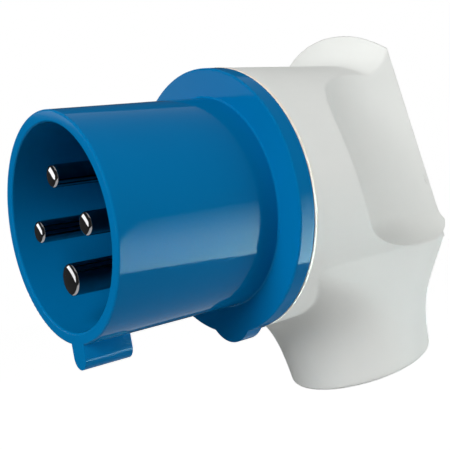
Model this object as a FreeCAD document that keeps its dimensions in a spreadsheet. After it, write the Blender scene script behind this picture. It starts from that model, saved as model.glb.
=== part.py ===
import FreeCAD, Part
import math
import os
import Sketcher

Vector = FreeCAD.Vector
Rotation = FreeCAD.Rotation
Placement = FreeCAD.Placement

# Driving dimensions, in millimetres and degrees.
# The plug's axis is X. X = 0 is the shroud's front rim and the housing lies on the -X side.
# Z points away from the key, and the cable leaves downwards and a little backwards.
SIZES = {
    # shroud moulding
    "shroud_radius": 25.0,
    "shroud_wall": 2.65,
    "shroud_length": 40.2,
    "shroud_edge_round": 0.5,
    "flange_radius": 31.8,
    "flange_width": 4.3,
    "flange_edge_round": 0.4,
    "floor_depth": 37.0,
    "floor_thickness": 6.0,
    "key_width": 5.3,
    "key_height": 5.3,
    "key_length": 11.5,
    "lobe_radius": 8.5,
    "lobe_reach": 2.1,
    "spigot_inset": 4.4,
    "spigot_wall": 2.4,
    "spigot_length": 9.0,
    "lug_count": 3,
    "lug_angle": 26.0,
    "lug_slot_slack": 4.0,
    "lug_height": 1.5,
    "lug_width": 3.0,
    "lug_setback": 4.0,
    # flange gasket
    "gasket_thickness": 0.6,
    "gasket_reach": 0.05,
    # pins and terminals
    "pin_circle_radius": 11.1,
    "phase_pin_radius": 2.5,
    "earth_pin_radius": 3.5,
    "pin_tip_depth": 0.5,
    "pin_tip_round": 0.7,
    "pin_clearance": 0.1,
    "head_radius": 4.7,
    "head_length": 13.0,
    "wire_bore_radius": 2.3,
    "wire_bore_depth": 9.0,
    "terminal_screw_radius": 1.9,
    "terminal_screw_head_radius": 3.0,
    "terminal_screw_head_height": 2.0,
    "terminal_screw_stand": 0.6,
    "terminal_screw_bite": 0.4,
    "terminal_screw_setback": 5.0,
    "driver_slot_width": 0.9,
    "driver_slot_depth": 0.9,
    # contact carrier and pin retainer
    "carrier_radius": 21.0,
    "carrier_front_wall": 3.0,
    "retainer_thickness": 3.0,
    "carrier_screw_circle": 15.0,
    "carrier_screw_radius": 1.4,
    "carrier_screw_grip": 4.5,
    "carrier_screw_head_radius": 2.8,
    "carrier_screw_head_height": 2.0,
    "screw_clearance": 0.2,
    "thread_clearance": 0.05,
    # housing moulding
    "housing_reveal": 0.05,
    "housing_taper": 0.025,
    "housing_wall": 2.8,
    "spigot_clearance": 0.15,
    "grip_rake": 12.3,
    "grip_back": 95.0,
    "grip_top_radius": 31.5,
    "grip_top_raise": 8.0,
    "grip_cove_length": 11.5,
    "scoop_radius": 26.97,
    "scoop_offset": 44.93,
    "scoop_back": 82.86,
    "scoop_end_height": 12.2,
    "scoop_end_level": -11.0,
    "skirt_half_width": 25.7,
    "skirt_rear": 23.4,
    "skirt_front": 40.0,
    "skirt_squareness": 6.7,
    "side_growth": 1.25,
    "rear_growth": 1.0,
    "front_growth": 4.2,
    "squareness_growth": 3.9,
    "corner_half_width": 24.2,
    "corner_depth": 12.0,
    "collar_slope": 1.5,
    # cable neck and gland
    "neck_rake": 10.0,
    "neck_back": 80.9,
    "neck_drop": 48.56,
    "neck_radius": 18.9,
    "neck_edge_round": 1.0,
    "gland_bore_radius": 15.6,
    "gland_clearance": 0.1,
    "gland_recess": 1.2,
    "gland_ring_height": 7.0,
    "gland_ring_bore": 8.2,
    "gland_key_hole_radius": 1.5,
    "gland_key_hole_circle": 12.0,
    "gland_key_hole_count": 4,
    "gland_key_hole_depth": 3.5,
    "washer_thickness": 1.2,
    "washer_bore": 8.6,
    "seal_height": 7.0,
    "seal_bore": 6.0,
    "seal_land": 4.5,
    "seal_step": 2.0,
    "shoulder_thickness": 3.0,
    "shoulder_bore": 10.5,
    # cord clamp
    "post_width": 8.0,
    "post_depth": 8.0,
    "post_height": 10.0,
    "post_spacing": 24.0,
    "post_face": 1.0,
    "post_hole_depth": 7.0,
    "saddle_height": 8.0,
    "saddle_thickness": 3.0,
    "saddle_bore": 6.5,
    "clamp_screw_radius": 1.4,
    "clamp_screw_grip": 6.0,
    "clamp_screw_head_radius": 2.7,
    "clamp_screw_head_height": 1.9,
}

# Radii that follow the flange, worked out in the sheet.
DERIVED = {
    "spigot_radius": "=flange_radius - spigot_inset",
    "housing_radius": "=flange_radius - housing_reveal",
}

# How finely the freely drawn curves of the housing are laid out.
OVAL_POINTS = 40
LOFT_STEPS = 8
# Degrees of arc kept at the scoop's lower end and round the outlet's rim.
SCOOP_ARC = 75
RIM_ARC = 70

SHEET = "Sizes"
PHASE_ANGLES = {"phase_pin_1": 0.0, "phase_pin_2": 90.0, "phase_pin_3": 180.0}
EARTH_ANGLE = 270.0
CARRIER_SCREW_ANGLES = {"carrier_screw_1": 45.0, "carrier_screw_2": 225.0}
CLAMP_SIDES = {"clamp_screw_1": 1.0, "clamp_screw_2": -1.0}


def make_sheet(doc):
    """Write every driving dimension into the spreadsheet with its alias."""
    sheet = doc.addObject("Spreadsheet::Sheet", SHEET)
    for row, (alias, value) in enumerate({**SIZES, **DERIVED}.items(), start=1):
        sheet.set(f"A{row}", alias)
        sheet.set(f"B{row}", str(value))
        sheet.setAlias(f"B{row}", alias)
    doc.recompute()
    return sheet


def bind(text):
    """Turn plain size names in a formula into references to the spreadsheet."""
    out = []
    word = ""
    for char in text + " ":
        if char.isalnum() or char == "_":
            word += char
            continue
        out.append(f"{SHEET}.{word}" if word in SIZES or word in DERIVED else word)
        out.append(char)
        word = ""
    return "".join(out).strip()


# Places along the plug's axis, as formulas of the driving dimensions.
FLANGE_FRONT = "(shroud_length)"
FLANGE_REAR = "(shroud_length + flange_width)"
HOUSING_FRONT = "(shroud_length + flange_width + gasket_thickness)"
SPIGOT_REAR = "(shroud_length + flange_width + spigot_length)"
FLOOR_REAR = "(floor_depth + floor_thickness)"
HEAD_FRONT = "(floor_depth + floor_thickness + carrier_front_wall)"
HEAD_REAR = "(floor_depth + floor_thickness + carrier_front_wall + head_length)"
CARRIER_REAR = "(floor_depth + floor_thickness + carrier_front_wall + head_length + pin_clearance)"
RETAINER_REAR = f"({CARRIER_REAR} + retainer_thickness)"
TERMINAL_PLACE = f"({HEAD_REAR} - terminal_screw_setback)"
LUG_FRONT = "(shroud_length + flange_width + lug_setback)"
SEAL_TOP = "(gland_recess + gland_ring_height + washer_thickness + seal_height)"


def size_of(doc, text):
    """Work a formula of the driving dimensions out with the sheet's own engine."""
    result = doc.getObject(SHEET).evalExpression(bind(text))
    return float(getattr(result, "Value", result))


def new_body(doc, name):
    """Start a sub-part, whose Label names its file."""
    body = doc.addObject("PartDesign::Body", name)
    body.Label = name
    return body


def place(body, base=("0", "0", "0"), rotation=None):
    """Turn a body, and bind its position to the driving dimensions."""
    if rotation is not None:
        body.Placement = Placement(Vector(0, 0, 0), rotation)
    for axis, formula in zip("xyz", base):
        body.setExpression(f"Placement.Base.{axis}", bind(formula))


def outline(body, name, role, points):
    """Draw a closed outline whose corners are formulas of the driving dimensions."""
    doc = body.Document
    sketch = body.newObject("Sketcher::SketchObject", name)
    plane = [item for item in body.Origin.OriginFeatures if item.Role == role][0]
    sketch.AttachmentSupport = (plane, [""])
    sketch.MapMode = "FlatFace"
    corners = [Vector(size_of(doc, u), size_of(doc, v), 0) for u, v in points]
    count = len(corners)
    for index in range(count):
        line = Part.LineSegment(corners[index], corners[(index + 1) % count])
        sketch.addGeometry(line, False)
    for index in range(count):
        sketch.addConstraint(Sketcher.Constraint("Coincident", index, 2, (index + 1) % count, 1))
    for index, formulas in enumerate(points):
        for kind, formula in zip(("DistanceX", "DistanceY"), formulas):
            number = size_of(doc, formula)
            key = sketch.addConstraint(Sketcher.Constraint(kind, -1, 1, index, 1, number))
            sketch.setExpression(f"Constraints[{key}]", bind(formula))
    return sketch


def turned(body, name, points, axis="H_Axis", role="XY_Plane"):
    """Add a turned form: the outline swept once round an axis of its sketch."""
    sketch = outline(body, name + "_outline", role, points)
    feature = body.newObject("PartDesign::Revolution", name)
    feature.Profile = sketch
    feature.ReferenceAxis = (sketch, [axis])
    feature.Angle = 360
    return feature


DIRECTIONS = {
    "X": Rotation(Vector(0, 1, 0), 90),
    "Y": Rotation(Vector(1, 0, 0), -90),
    "Z": Rotation(),
}


def cylinder(body, kind, name, radius, length, base, direction="X"):
    """Add or cut a cylinder that starts at base and runs along a named axis of the body."""
    feature = body.newObject(f"PartDesign::{kind}Cylinder", name)
    feature.Placement = Placement(Vector(0, 0, 0), DIRECTIONS[direction])
    feature.setExpression("Radius", bind(radius))
    feature.setExpression("Height", bind(length))
    for axis, formula in zip("xyz", base):
        feature.setExpression(f"Placement.Base.{axis}", bind(formula))
    return feature


def box(body, kind, name, lengths, base):
    """Add or cut a box whose lowest corner is at base."""
    feature = body.newObject(f"PartDesign::{kind}Box", name)
    for key, formula in zip(("Length", "Width", "Height"), lengths):
        feature.setExpression(key, bind(formula))
    for axis, formula in zip("xyz", base):
        feature.setExpression(f"Placement.Base.{axis}", bind(formula))
    return feature


def pattern(body, name, feature, axis, count):
    """Repeat a feature evenly round an axis of the body."""
    repeat = body.newObject("PartDesign::PolarPattern", name)
    repeat.Originals = [feature]
    line = [item for item in body.Origin.OriginFeatures if item.Role == axis][0]
    repeat.Axis = (line, [""])
    repeat.Angle = 360
    repeat.setExpression("Occurrences", bind(count))
    body.Tip = repeat
    return repeat


def round_edges(body, name, radius, wanted):
    """Round the circular edges that lie at the wanted (place along X, radius) pairs."""
    doc = body.Document
    doc.recompute()
    base = body.Tip
    names = []
    targets = [(size_of(doc, place_x), size_of(doc, circle)) for place_x, circle in wanted]
    for number, edge in enumerate(base.Shape.Edges, start=1):
        if not isinstance(edge.Curve, Part.Circle):
            continue
        for place_x, circle in targets:
            same_place = abs(edge.Curve.Center.x - place_x) < 1e-4
            if same_place and abs(edge.Curve.Radius - circle) < 1e-4:
                names.append(f"Edge{number}")
    feature = body.newObject("PartDesign::Fillet", name)
    feature.Base = (base, names)
    feature.setExpression("Radius", bind(radius))
    return feature


def polar(radius, angle):
    """Give the formulas of a place on a circle round the plug's axis."""
    return f"{radius} * cos({angle})", f"{radius} * sin({angle})"


def make_shroud(doc):
    """The front moulding: tube, pin floor, flange, key, flange lobe and bayonet spigot."""
    body = new_body(doc, "shroud")
    inner = "shroud_radius - shroud_wall"
    spigot_inner = "spigot_radius - spigot_wall"
    turned(body, "shroud_form", [
        ("0", inner),
        ("0", "shroud_radius"),
        (f"-{FLANGE_FRONT}", "shroud_radius"),
        (f"-{FLANGE_FRONT}", "flange_radius"),
        (f"-{FLANGE_REAR}", "flange_radius"),
        (f"-{FLANGE_REAR}", "spigot_radius"),
        (f"-{SPIGOT_REAR}", "spigot_radius"),
        (f"-{SPIGOT_REAR}", spigot_inner),
        (f"-{FLOOR_REAR}", spigot_inner),
        (f"-{FLOOR_REAR}", "0"),
        ("-floor_depth", "0"),
        ("-floor_depth", inner),
    ])
    round_edges(body, "rim_round", "shroud_edge_round", [
        ("0", inner),
        ("0", "shroud_radius"),
        ("-floor_depth", inner),
        (f"-{FLANGE_FRONT}", "shroud_radius"),
    ])
    round_edges(body, "flange_round", "flange_edge_round", [
        (f"-{FLANGE_FRONT}", "flange_radius"),
        (f"-{FLANGE_REAR}", "flange_radius"),
    ])
    key_centre = "(shroud_radius + key_height - key_width / 2)"
    key_root = "(shroud_radius - shroud_wall / 2)"
    box(body, "Additive", "key_block",
        ("key_length", "key_width", f"{key_centre} - {key_root}"),
        ("-key_length", "-key_width / 2", f"-{key_centre}"))
    cylinder(body, "Additive", "key_nose", "key_width / 2", "key_length",
             ("-key_length", "0", f"-{key_centre}"))
    cylinder(body, "Additive", "flange_lobe", "lobe_radius", "flange_width",
             (f"-{FLANGE_REAR}", "0", "-(flange_radius + lobe_reach - lobe_radius)"))
    cylinder(body, "Subtractive", "spigot_bore", spigot_inner,
             f"{SPIGOT_REAR} - {FLOOR_REAR} + 1", (f"-{SPIGOT_REAR} - 1", "0", "0"))
    lug_rear = f"({LUG_FRONT} + lug_width)"
    lug_sketch = outline(body, "lug_outline", "XY_Plane", [
        (f"-{LUG_FRONT}", "spigot_radius - spigot_wall / 2"),
        (f"-{LUG_FRONT}", "spigot_radius + lug_height"),
        (f"-{lug_rear}", "spigot_radius + lug_height"),
        (f"-{lug_rear}", "spigot_radius - spigot_wall / 2"),
    ])
    lug = body.newObject("PartDesign::Revolution", "lug")
    lug.Profile = lug_sketch
    lug.ReferenceAxis = (lug_sketch, ["H_Axis"])
    lug.Midplane = True
    lug.setExpression("Angle", bind("lug_angle"))
    doc.recompute()
    pattern(body, "lugs", lug, "X_Axis", "lug_count")
    for name, angle in PHASE_ANGLES.items():
        across, up = polar("pin_circle_radius", angle)
        cylinder(body, "Subtractive", name + "_hole", "phase_pin_radius + pin_clearance",
                 "floor_thickness + 2", (f"-{FLOOR_REAR} - 1", across, up))
    across, up = polar("pin_circle_radius", EARTH_ANGLE)
    cylinder(body, "Subtractive", "earth_pin_hole", "earth_pin_radius + pin_clearance",
             "floor_thickness + 2", (f"-{FLOOR_REAR} - 1", across, up))
    for name, angle in CARRIER_SCREW_ANGLES.items():
        across, up = polar("carrier_screw_circle", angle)
        cylinder(body, "Subtractive", name + "_pilot", "carrier_screw_radius + thread_clearance",
                 "carrier_screw_grip + 1.5", (f"-{FLOOR_REAR} - 1", across, up))
    return body


def make_gasket(doc):
    """The flat ring that seals the housing against the flange."""
    body = new_body(doc, "flange_gasket")
    turned(body, "ring", [
        (f"-{FLANGE_REAR}", "spigot_radius + spigot_clearance"),
        (f"-{FLANGE_REAR}", "flange_radius + gasket_reach"),
        (f"-{HOUSING_FRONT}", "flange_radius + gasket_reach"),
        (f"-{HOUSING_FRONT}", "spigot_radius + spigot_clearance"),
    ])
    return body


def make_pin(doc, name, radius, angle):
    """A turned pin with a bored terminal head and a cross hole for its clamping screw."""
    body = new_body(doc, name)
    bore_end = f"({HEAD_REAR} - wire_bore_depth)"
    turned(body, name + "_form", [
        ("-pin_tip_depth", "0"),
        ("-pin_tip_depth", radius),
        (f"-{HEAD_FRONT}", radius),
        (f"-{HEAD_FRONT}", "head_radius"),
        (f"-{HEAD_REAR}", "head_radius"),
        (f"-{HEAD_REAR}", "wire_bore_radius"),
        (f"-{bore_end}", "wire_bore_radius"),
        (f"-{bore_end}", "0"),
    ])
    round_edges(body, name + "_tip", "pin_tip_round", [("-pin_tip_depth", radius)])
    cylinder(body, "Subtractive", name + "_screw_hole", "terminal_screw_radius + thread_clearance",
             "head_radius + 1", (f"-{TERMINAL_PLACE}", "0", "0"), "Y")
    across, up = polar("pin_circle_radius", angle)
    place(body, ("0", across, up), Rotation(Vector(1, 0, 0), angle))
    return body


def make_screw(doc, name, shank, length, head, head_height):
    """A slotted screw along the body's X axis, with its head's seat at X = 0."""
    body = new_body(doc, name)
    turned(body, name + "_form", [
        (f"-({length})", "0"),
        (f"-({length})", shank),
        ("0", shank),
        ("0", head),
        (head_height, head),
        (head_height, "0"),
    ])
    box(body, "Subtractive", name + "_slot",
        ("driver_slot_depth + 1", "driver_slot_width", f"2 * {head} + 2"),
        (f"{head_height} - driver_slot_depth", "-driver_slot_width / 2", f"-{head} - 1"))
    return body


def make_terminal_screw(doc, name, angle):
    """The screw that clamps a wire in a pin's head, standing radially in the carrier."""
    seat = "(head_radius + terminal_screw_stand)"
    body = make_screw(doc, name, "terminal_screw_radius", "head_radius - terminal_screw_bite",
                      "terminal_screw_head_radius", "terminal_screw_head_height")
    across, up = polar(f"(pin_circle_radius + {seat})", angle)
    radial = Vector(0, math.cos(math.radians(angle)), math.sin(math.radians(angle)))
    place(body, (f"-{TERMINAL_PLACE}", across, up), Rotation(Vector(1, 0, 0), radial))
    return body


def pin_radius_at(name):
    """Name the radius of a pin."""
    return "earth_pin_radius" if name == "earth_pin" else "phase_pin_radius"


def all_pins():
    """List every pin with its angle round the plug's axis."""
    return dict(PHASE_ANGLES, earth_pin=EARTH_ANGLE)


def make_carrier(doc):
    """The insulating block behind the floor, with a pocket and a screw channel for each pin."""
    body = new_body(doc, "contact_carrier")
    block_length = f"({CARRIER_REAR} - {FLOOR_REAR})"
    cylinder(body, "Additive", "block", "carrier_radius", block_length,
             (f"-{CARRIER_REAR}", "0", "0"))
    for name, angle in all_pins().items():
        across, up = polar("pin_circle_radius", angle)
        cylinder(body, "Subtractive", name + "_passage", f"{pin_radius_at(name)} + pin_clearance",
                 f"{block_length} + 2", (f"-{CARRIER_REAR} - 1", across, up))
        cylinder(body, "Subtractive", name + "_pocket", "head_radius + pin_clearance",
                 f"{CARRIER_REAR} - {HEAD_FRONT} + 1", (f"-{CARRIER_REAR} - 1", across, up))
        channel = cylinder(body, "Subtractive", name + "_channel",
                           "terminal_screw_head_radius + screw_clearance", "carrier_radius",
                           (f"-{TERMINAL_PLACE}", across, up))
        radial = Vector(0, math.cos(math.radians(angle)), math.sin(math.radians(angle)))
        channel.Placement = Placement(channel.Placement.Base, Rotation(Vector(0, 0, 1), radial))
    for name, angle in CARRIER_SCREW_ANGLES.items():
        across, up = polar("carrier_screw_circle", angle)
        cylinder(body, "Subtractive", name + "_hole", "carrier_screw_radius + screw_clearance",
                 f"{block_length} + 2", (f"-{CARRIER_REAR} - 1", across, up))
    return body


def make_retainer(doc):
    """The plate that closes the carrier and keeps the pins in it."""
    body = new_body(doc, "pin_retainer")
    cylinder(body, "Additive", "plate", "carrier_radius", "retainer_thickness",
             (f"-{RETAINER_REAR}", "0", "0"))
    for name, angle in all_pins().items():
        across, up = polar("pin_circle_radius", angle)
        cylinder(body, "Subtractive", name + "_wire_hole", "wire_bore_radius + screw_clearance",
                 "retainer_thickness + 2", (f"-{RETAINER_REAR} - 1", across, up))
    for name, angle in CARRIER_SCREW_ANGLES.items():
        across, up = polar("carrier_screw_circle", angle)
        cylinder(body, "Subtractive", name + "_hole", "carrier_screw_radius + screw_clearance",
                 "retainer_thickness + 2", (f"-{RETAINER_REAR} - 1", across, up))
    return body


def make_carrier_screw(doc, name, angle):
    """A screw through retainer and carrier into the shroud's floor, driven from behind."""
    body = make_screw(doc, name, "carrier_screw_radius",
                      f"{RETAINER_REAR} - {FLOOR_REAR} + carrier_screw_grip",
                      "carrier_screw_head_radius", "carrier_screw_head_height")
    across, up = polar("carrier_screw_circle", angle)
    place(body, (f"-{RETAINER_REAR}", across, up), Rotation(Vector(0, 0, 1), 180))
    return body


def neck_place(along, up):
    """Give the formulas of a place in the cable neck's raked frame, in the plug's frame."""
    return (f"-neck_back + ({along}) * cos(neck_rake) + ({up}) * sin(neck_rake)",
            f"-neck_drop - ({along}) * sin(neck_rake) + ({up}) * cos(neck_rake)")


def place_in_neck(doc, body, along="0", across="0", up="0"):
    """Set a body into the neck's frame, whose Z axis leaves the outlet's rim inwards."""
    x_formula, z_formula = neck_place(along, up)
    place(body, (x_formula, across, z_formula), Rotation(Vector(0, 1, 0), size_of(doc, "neck_rake")))
    body.setExpression("Placement.Rotation.Angle", bind("neck_rake"))


def ring_points(inner, outer, low, high):
    """Outline of a plain ring about the sketch's vertical axis."""
    return [(inner, low), (outer, low), (outer, high), (inner, high)]


def make_gland_ring(doc):
    """The pressure ring in the outlet, turned by a pin wrench in its blind holes."""
    body = new_body(doc, "gland_ring")
    outer = "gland_bore_radius - gland_clearance"
    turned(body, "ring", ring_points("gland_ring_bore", outer, "gland_recess",
                                     "gland_recess + gland_ring_height"), "V_Axis", "XZ_Plane")
    hole = cylinder(body, "Subtractive", "wrench_hole", "gland_key_hole_radius",
                    "gland_key_hole_depth + 1", ("gland_key_hole_circle", "0", "gland_recess - 1"), "Z")
    doc.recompute()
    pattern(body, "wrench_holes", hole, "Z_Axis", "gland_key_hole_count")
    place_in_neck(doc, body)
    return body


def make_gland_washer(doc):
    """The hard washer between the pressure ring and the rubber seal."""
    body = new_body(doc, "gland_washer")
    low = "gland_recess + gland_ring_height"
    turned(body, "ring", ring_points("washer_bore", "gland_bore_radius - gland_clearance", low,
                                     f"{low} + washer_thickness"), "V_Axis", "XZ_Plane")
    place_in_neck(doc, body)
    return body


def make_cable_seal(doc):
    """The rubber seal that grips the cable, with a straight land and a flared top."""
    body = new_body(doc, "cable_seal")
    low = f"({SEAL_TOP} - seal_height)"
    turned(body, "ring", [
        ("seal_bore", low),
        ("gland_bore_radius - gland_clearance", low),
        ("gland_bore_radius - gland_clearance", SEAL_TOP),
        ("seal_bore + seal_step", SEAL_TOP),
        ("seal_bore", f"{low} + seal_land"),
    ], "V_Axis", "XZ_Plane")
    place_in_neck(doc, body)
    return body


POST_BASE = f"({SEAL_TOP} + shoulder_thickness)"
SADDLE_LOW = f"({POST_BASE} + (post_height - saddle_height) / 2)"
CLAMP_LEVEL = f"({POST_BASE} + post_height / 2)"


def make_saddle(doc):
    """The arched bar that presses the cable back between the two posts."""
    body = new_body(doc, "cord_clamp_saddle")
    cylinder(body, "Additive", "arch", "saddle_bore + saddle_thickness", "saddle_height",
             ("0", "0", SADDLE_LOW), "Z")
    wide = "(saddle_bore + saddle_thickness + 1)"
    box(body, "Subtractive", "open_side", (f"{wide} + post_face", f"2 * {wide}", "saddle_height + 2"),
        (f"-{wide}", f"-{wide}", f"{SADDLE_LOW} - 1"))
    half = "(post_spacing / 2 + post_width / 2)"
    box(body, "Additive", "bar", ("saddle_thickness", f"2 * {half}", "saddle_height"),
        ("post_face", f"-{half}", SADDLE_LOW))
    cylinder(body, "Subtractive", "cable_space", "saddle_bore", "saddle_height + 2",
             ("0", "0", f"{SADDLE_LOW} - 1"), "Z")
    for name, side in CLAMP_SIDES.items():
        cylinder(body, "Subtractive", name + "_hole", "clamp_screw_radius + screw_clearance",
                 "saddle_thickness + 2", ("post_face - 1", f"{side} * post_spacing / 2", CLAMP_LEVEL))
    place_in_neck(doc, body)
    return body


def make_clamp_screw(doc, name, side):
    """A screw through one end of the saddle into the housing's post."""
    body = make_screw(doc, name, "clamp_screw_radius", "saddle_thickness + clamp_screw_grip",
                      "clamp_screw_head_radius", "clamp_screw_head_height")
    place_in_neck(doc, body, "post_face + saddle_thickness", f"{side} * post_spacing / 2", CLAMP_LEVEL)
    return body


class HousingForm:
    """The housing's moulded form, drawn once for its outside and once, inset, for its hollow."""

    def __init__(self, doc, inset):
        self.doc = doc
        self.inset = inset
        self.neck = Placement(
            Vector(-self.size("neck_back"), 0, -self.size("neck_drop")),
            Rotation(Vector(0, 1, 0), self.size("neck_rake")))
        self.grip = Placement(
            Vector(-self.size("grip_back"), 0, 0),
            Rotation(Vector(0, 1, 0), self.size("grip_rake")))
        self.reach = 3 * self.size("grip_back")

    def size(self, text):
        """Read a driving dimension or a formula of them."""
        return size_of(self.doc, text)

    def block(self, low, high, frame=None):
        """A box between two corners, in a frame of its own."""
        span = high - low
        shape = Part.makeBox(span.x, span.y, span.z, low)
        if frame is not None:
            shape.Placement = frame
        return shape

    def barrel_radius(self, x_place):
        """The tapered barrel's radius at a place along the plug's axis."""
        behind = -x_place - self.size(HOUSING_FRONT)
        return self.size("housing_radius") - self.size("housing_taper") * behind

    def barrel(self):
        """The tapered barrel round the plug's axis."""
        front = self.size(HOUSING_FRONT)
        rear = self.size("grip_back + grip_top_radius")
        return Part.makeCone(self.barrel_radius(-front) - self.inset,
                             self.barrel_radius(-rear) - self.inset,
                             rear - front, Vector(-front, 0, 0), Vector(-1, 0, 0))

    def plan(self):
        """The upright column, rounded at its two lower rear corners, that trims the barrel."""
        wide = self.size("2 * housing_radius")
        points = self.oval(wide, self.size("skirt_rear") - self.inset,
                           self.size("corner_half_width") - self.inset,
                           self.size("skirt_squareness"))
        curve = Part.BSplineCurve()
        curve.interpolate(points, PeriodicFlag=True)
        column = Part.Face(Part.Wire([curve.toShape()])).extrude(Vector(0, 0, wide))
        column.Placement = self.neck
        column = column.common(self.block(Vector(-self.reach, -wide, -self.crease_drop()),
                                          Vector(self.reach, wide, wide)))
        ahead = self.block(Vector(-self.size("corner_depth"), -wide, -self.reach),
                           Vector(self.reach, wide, self.reach), self.neck)
        above = self.block(Vector(-self.reach, -wide, 0), Vector(self.reach, wide, self.reach))
        return column.fuse([ahead, above])

    def flare(self):
        """The cove that rises from the barrel to the grip's round top edge."""
        rake = math.radians(self.size("grip_rake"))
        top = self.size("grip_top_radius")
        raise_up = self.size("grip_top_raise")
        length = self.size("grip_cove_length")
        radius = (length ** 2 + raise_up ** 2) / (2 * raise_up)
        sections = []
        for index in range(LOFT_STEPS + 1):
            ahead = length * (1 - index / LOFT_STEPS)
            rise = radius - math.sqrt(radius ** 2 - (length - ahead) ** 2)
            share = rise / raise_up
            foot = self.barrel_radius(ahead - self.size("grip_back"))
            centre = Vector(ahead, 0, ahead * math.tan(rake) + rise)
            circle = Part.Circle(centre, Vector(1, 0, 0), foot + (top - foot) * share - self.inset)
            sections.append(Part.Wire([circle.toShape()]))
        shape = Part.makeLoft(sections, True, False)
        shape.Placement = self.grip
        return shape

    def scoop(self, side):
        """The finger scoop: a raked half pipe whose lower end closes in level, round sections."""
        radius = self.size("scoop_radius") + self.inset
        level = self.size("scoop_end_level")
        end = self.size("scoop_end_height") + self.inset
        rake = math.radians(self.size("grip_rake"))

        def centre(height):
            return Vector(height * math.tan(rake) - self.size("scoop_back"),
                          side * self.size("scoop_offset"), height)

        sections = []
        for index in range(LOFT_STEPS + 1):
            angle = math.radians(SCOOP_ARC) * index / LOFT_STEPS
            across = radius * math.cos(angle)
            along = across / math.cos(rake)
            middle = centre(level - end * math.sin(angle))
            ellipse = Part.Ellipse(middle + Vector(along, 0, 0), middle + Vector(0, across, 0), middle)
            sections.append(Part.Wire([ellipse.toShape()]))
        closing = Part.makeLoft(sections, True, False)
        pipe = Part.makeCylinder(radius, self.reach, centre(level - end),
                                 self.grip.Rotation.multVec(Vector(0, 0, 1)))
        above = self.block(Vector(-self.reach, -self.reach, level),
                           Vector(self.reach, self.reach, self.reach))
        return pipe.common(above).fuse(closing)

    def oval(self, front, rear, half, power):
        """Points of a squared oval with its own lengths ahead, behind and to the sides."""
        points = []
        for index in range(OVAL_POINTS):
            angle = 2 * math.pi * index / OVAL_POINTS
            along, across = math.cos(angle), math.sin(angle)
            length = front if along > 0 else rear
            span = (abs(along / length) ** power + abs(across / half) ** power) ** (-1 / power)
            points.append(Vector(along * span, across * span, 0))
        return points

    def crease_drop(self):
        """How far under the plug's axis the barrel meets the skirt's flat sides."""
        return math.sqrt(self.size("housing_radius") ** 2 - self.size("skirt_half_width") ** 2)

    def side_at(self, x_place):
        """Half width of the barrel at the crease, at a place along the plug's axis."""
        return math.sqrt(self.barrel_radius(x_place) ** 2 - self.crease_drop() ** 2)

    def section(self, share):
        """One closed section of the skirt: the outlet's round rim at 0, the crease at 1."""
        radius = self.size("neck_radius")
        rise = share * (self.size("neck_drop") - self.crease_drop())
        tilt = math.radians(self.size("neck_rake"))
        centre = Vector(rise * math.tan(tilt) - self.size("neck_back"), 0,
                        rise - self.size("neck_drop"))
        turn = Placement(centre, Rotation(Vector(0, 1, 0), self.size("neck_rake") * (1 - share)))

        def grown(target, growth):
            return radius + (self.size(target) - radius) * share ** self.size(growth) - self.inset

        half = grown("skirt_half_width", "side_growth")
        rear = grown("skirt_rear", "rear_growth")
        front = grown("skirt_front", "front_growth")
        power = 2 + (self.size("skirt_squareness") - 2) * share ** self.size("squareness_growth")
        points = []
        for flat in self.oval(front, rear, half, power):
            point = turn.multVec(flat)
            widening = self.side_at(min(point.x, -self.size(HOUSING_FRONT)))
            point.y *= (widening / self.size("skirt_half_width")) ** share
            points.append(point)
        curve = Part.BSplineCurve()
        curve.interpolate(points, PeriodicFlag=True)
        return Part.Wire([curve.toShape()])

    def skirt(self):
        """The waisted skirt between the barrel and the outlet's round rim."""
        shares = [index / LOFT_STEPS for index in range(LOFT_STEPS + 1)]
        sections = [self.section(share) for share in shares]
        waist = Part.makeLoft(sections, True, False)
        root = Part.Face(sections[-1]).extrude(Vector(0, 0, self.crease_drop() / 2))
        return waist.fuse(root)

    def collar(self):
        """The ring cut away behind the gasket, so that the skirt starts within the barrel's rim."""
        front = self.size(HOUSING_FRONT)
        inner = self.size("housing_radius")
        outer = self.size("skirt_front")
        back = front + (outer - inner) / self.size("collar_slope")
        corners = [Vector(-front, inner, 0), Vector(-front, outer, 0), Vector(-back, outer, 0),
                   Vector(-front, inner, 0)]
        face = Part.Face(Part.makePolygon(corners))
        return face.revolve(Vector(0, 0, 0), Vector(1, 0, 0), 360)

    def solid(self):
        """Join the forms, scoop the grip and trim the front and the back."""
        shape = self.barrel().common(self.plan())
        shape = shape.fuse([self.skirt(), self.flare()])
        shape = shape.cut([self.scoop(1), self.scoop(-1)])
        behind = self.block(Vector(-self.reach, -self.reach, -self.reach),
                            Vector(self.inset, self.reach, self.reach), self.grip)
        front = self.size(HOUSING_FRONT)
        ahead = self.block(Vector(-front, -self.reach, -self.reach),
                           Vector(self.reach, self.reach, self.reach))
        return shape.cut([behind, ahead]).cut(self.collar())


def in_neck(form, shape):
    """Set a shape drawn in the neck's own frame into the plug's frame."""
    shape.Placement = form.neck.multiply(shape.Placement)
    return shape


def neck_cylinder(form, radius, low, high):
    """A cylinder on the neck's axis between two heights above the outlet's rim."""
    return in_neck(form, Part.makeCylinder(radius, high - low, Vector(0, 0, low)))


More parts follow.
